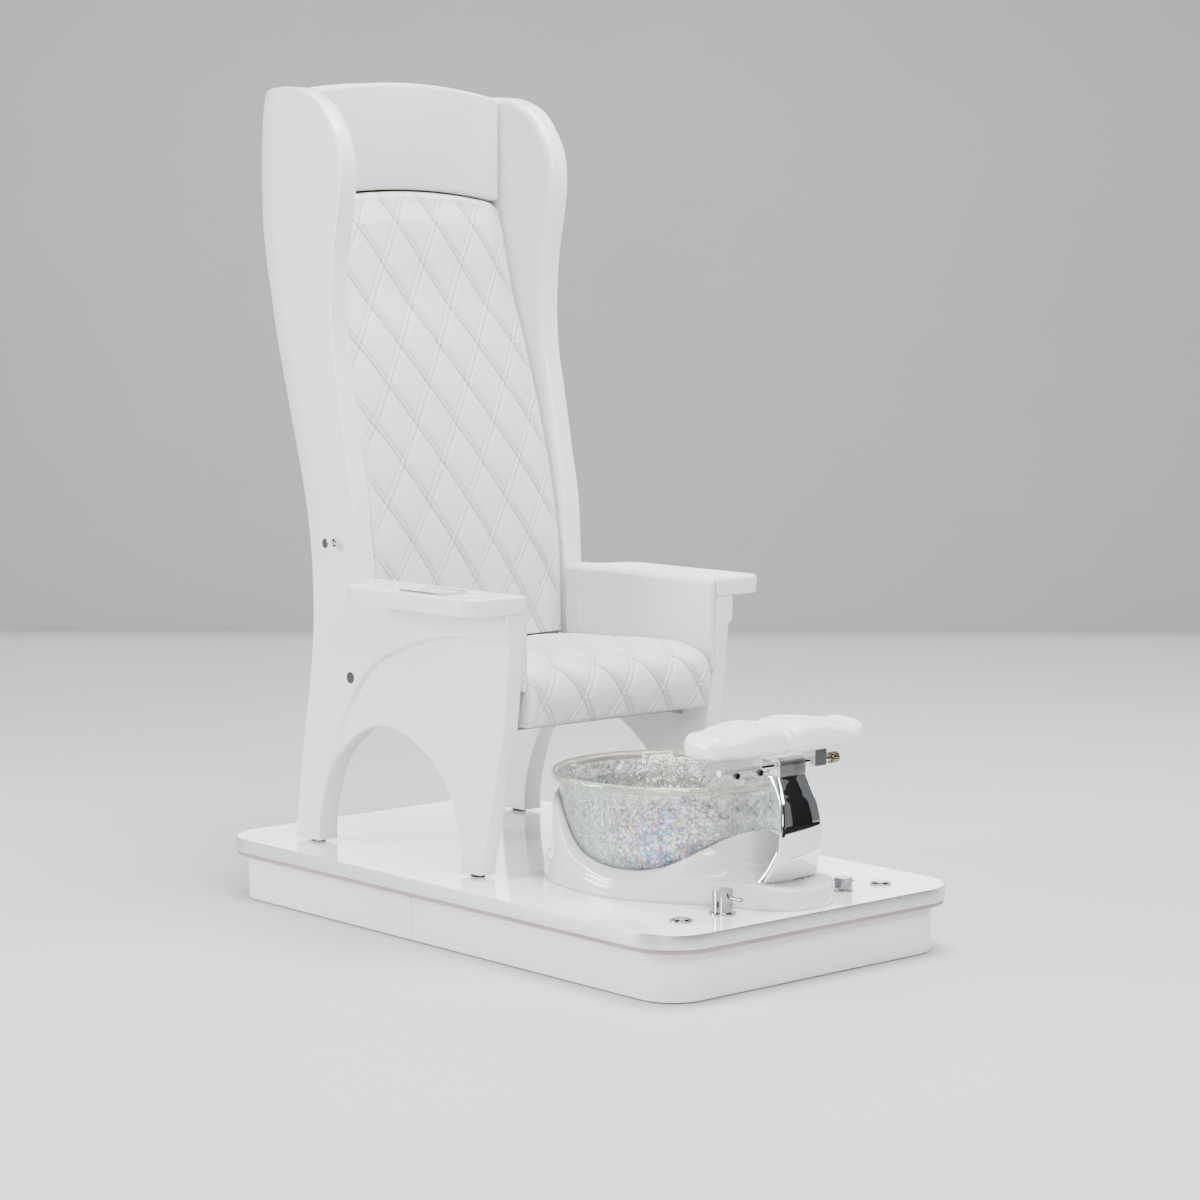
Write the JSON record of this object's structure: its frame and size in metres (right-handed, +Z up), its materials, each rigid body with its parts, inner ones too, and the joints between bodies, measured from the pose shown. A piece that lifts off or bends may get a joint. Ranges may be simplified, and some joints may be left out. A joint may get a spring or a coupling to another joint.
{
  "type": "pedicure spa chair",
  "caption": "High-backed winged spa chair with quilted cushions on a low deck, facing a round glass foot bowl with a tilting footrest, tap controls and push buttons",
  "frame": {"origin": "middle of the deck's footprint on the floor", "axes": "X to the right seen from the front, Y from the foot bowl towards the chair's back, Z up"},
  "size_m": [0.762, 1.364, 1.655],
  "materials": {
    "frame_steel": "black satin powder coat on welded steel tube",
    "bright_steel": "zinc-plated steel fittings",
    "gloss_white": "high-gloss white gel coat",
    "reveal": "matt taupe plastic edging",
    "brushed_band": "brushed aluminium edge band",
    "shell_white": "gloss white lacquered moulding",
    "plywood": "plain birch plywood",
    "upholstery": "smooth white synthetic leather",
    "chrome": "polished chrome plate",
    "dark_plastic": "black moulded plastic",
    "grey_plastic": "grey moulded plastic",
    "rubber": "dark grey rubber",
    "glass": "thick clear hammered glass with an iridescent sheen",
    "brass": "polished brass",
    "pex": "red plastic water pipe"
  },
  "bodies": {
    "chair_base": {"base_frame": "frame_steel", "leveling_feet": "frame_steel", "skirt_brackets": "bright_steel", "plinth_front": "gloss_white", "plinth_rear": "gloss_white", "reveal_strip": "reveal", "deck_panel": "gloss_white", "edge_band": "brushed_band", "side_shell_left": "shell_white", "side_shell_right": "shell_white", "back_shell": "shell_white", "back_battens": "plywood", "back_board": "plywood", "back_cushion": "upholstery", "headrest_pad": "upholstery", "seat_frame": "frame_steel", "seat_board": "plywood", "seat_cushion": "upholstery", "arm_shelf_left": "shell_white", "arm_shelf_right": "shell_white", "arm_pad_left": "upholstery", "arm_pad_right": "upholstery", "hatch_rim": "chrome", "hatch_hinge_pin": "bright_steel", "outlet_module": "dark_plastic", "purse_hook": "chrome", "bolt_caps": "dark_plastic", "shell_bolts": "bright_steel", "foot_glides": "rubber", "foot_bolts": "bright_steel", "basin_pod": "gloss_white", "bowl_gasket": "rubber", "basin_bowl": "glass", "drain_flange": "chrome", "drain_pump": "dark_plastic", "drain_pipe": "dark_plastic", "jet_motor": "dark_plastic", "jet_cover": "gloss_white", "footrest_column": "chrome", "column_bolts": "bright_steel", "footrest_neck": "chrome", "footrest_axle": "chrome", "mixer_valve": "chrome", "diverter_valve": "chrome", "button_housings": "chrome", "supply_pipes": "pex", "control_box": "dark_plastic"},
    "drain_stopper": {"drain_stopper": "chrome"},
    "jet_impeller": {"jet_impeller": "grey_plastic"},
    "mixer_lever": {"mixer_lever": "chrome"},
    "diverter_handle": {"diverter_handle": "chrome"},
    "jet_button": {"jet_button": "chrome"},
    "drain_button": {"drain_button": "chrome"},
    "hatch_lid": {"hatch_lid": "gloss_white"},
    "footrest": {"clamp_housing": "gloss_white", "pad_bracket": "chrome", "footrest_pad": "upholstery"},
    "axle_knob": {"axle_knob": "brass"},
    "thumb_screw_outer": {"thumb_screw_outer": "brass"},
    "thumb_screw_inner": {"thumb_screw_inner": "brass"}
  },
  "joints": [
    {"name": "footrest_tilt", "type": "hinge", "parent": "chair_base", "child": "footrest", "pos_m": [0, -0.585, 0.382], "axis": [1, 0, 0], "range_deg": [-20, 20]},
    {"name": "axle_knob_turn", "type": "hinge", "parent": "chair_base", "child": "axle_knob", "pos_m": [0.116, -0.585, 0.382], "axis": [1, 0, 0], "range_deg": [0, 180]},
    {"name": "outer_screw_turn", "type": "hinge", "parent": "footrest", "child": "thumb_screw_outer", "pos_m": [-0.15, -0.605, 0.378], "axis": [0, 1, 0], "range_deg": [0, 180]},
    {"name": "inner_screw_turn", "type": "hinge", "parent": "footrest", "child": "thumb_screw_inner", "pos_m": [-0.092, -0.605, 0.378], "axis": [0, 1, 0], "range_deg": [0, 180]},
    {"name": "mixer_turn", "type": "hinge", "parent": "chair_base", "child": "mixer_lever", "pos_m": [-0.155, -0.577, 0.157], "axis": [0, 0, 1], "range_deg": [-55, 55]},
    {"name": "diverter_turn", "type": "hinge", "parent": "chair_base", "child": "diverter_handle", "pos_m": [0.155, -0.577, 0.142], "axis": [0, 0, 1], "range_deg": [0, 90]},
    {"name": "jet_button_press", "type": "slide", "parent": "chair_base", "child": "jet_button", "axis": [0, 0, -1], "range_m": [0, 0.0025], "stiffness_N_per_m": 800, "springref_m": -0.001},
    {"name": "drain_button_press", "type": "slide", "parent": "chair_base", "child": "drain_button", "axis": [0, 0, -1], "range_m": [0, 0.0025], "stiffness_N_per_m": 800, "springref_m": -0.001},
    {"name": "hatch_open", "type": "hinge", "parent": "chair_base", "child": "hatch_lid", "pos_m": [-0.326, 0.082, 0.6694], "axis": [1, 0, 0], "range_deg": [-95, 0]},
    {"name": "stopper_lift", "type": "slide", "parent": "chair_base", "child": "drain_stopper", "axis": [0, 0, 1], "range_m": [0, 0.01]},
    {"name": "jet_spin", "type": "hinge", "parent": "chair_base", "child": "jet_impeller", "pos_m": [0, -0.214, 0.157], "axis": [0, 0, 1], "continuous": true}
  ]
}
